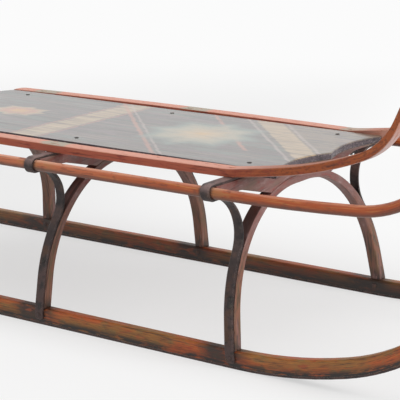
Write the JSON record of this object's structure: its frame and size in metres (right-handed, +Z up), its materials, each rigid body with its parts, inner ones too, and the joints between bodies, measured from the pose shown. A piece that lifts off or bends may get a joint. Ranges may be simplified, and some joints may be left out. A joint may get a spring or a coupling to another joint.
{
  "type": "child sled",
  "caption": "Bentwood child's sled: a painted deck on leaning arches over iron-shod runners that curl up in front to a pull bar, with round side rails held by hairpin irons.",
  "frame": {"origin": "on the floor, under the middle of the whole length, in the middle plane", "axes": "+X towards the front, +Y to the sled's left, +Z up"},
  "size_m": [1.0853, 0.4228, 0.4253],
  "materials": {
    "deck_paint": "old dark paint with cream bands, worn",
    "rail_wood": "red-brown paint, worn, satin",
    "hand_rail_wood": "orange-brown varnish, glossy",
    "runner_wood": "orange-brown paint, streaked and worn",
    "arch_wood": "dull red paint, satin",
    "iron": "blackened wrought iron"
  },
  "bodies": {
    "root": {"arch_front": "arch_wood", "arch_middle": "arch_wood", "arch_rear": "arch_wood", "arm_front_left": "arch_wood", "arm_front_right": "arch_wood", "arm_middle_left": "arch_wood", "arm_middle_right": "arch_wood", "arm_rear_left": "arch_wood", "arm_rear_right": "arch_wood", "deck": "deck_paint", "deck_rail_left": "rail_wood", "deck_rail_right": "rail_wood", "hand_rail_left": "hand_rail_wood", "hand_rail_right": "hand_rail_wood", "pull_bar": "rail_wood", "runner_left": "runner_wood", "runner_right": "runner_wood", "saddle_front": "arch_wood", "saddle_middle": "arch_wood", "saddle_rear": "arch_wood", "shoe_left": "iron", "shoe_right": "iron", "strap_front_left": "iron", "strap_front_right": "iron", "strap_middle_left": "iron", "strap_middle_right": "iron", "strap_rear_left": "iron", "strap_rear_right": "iron"}
  },
  "joints": []
}
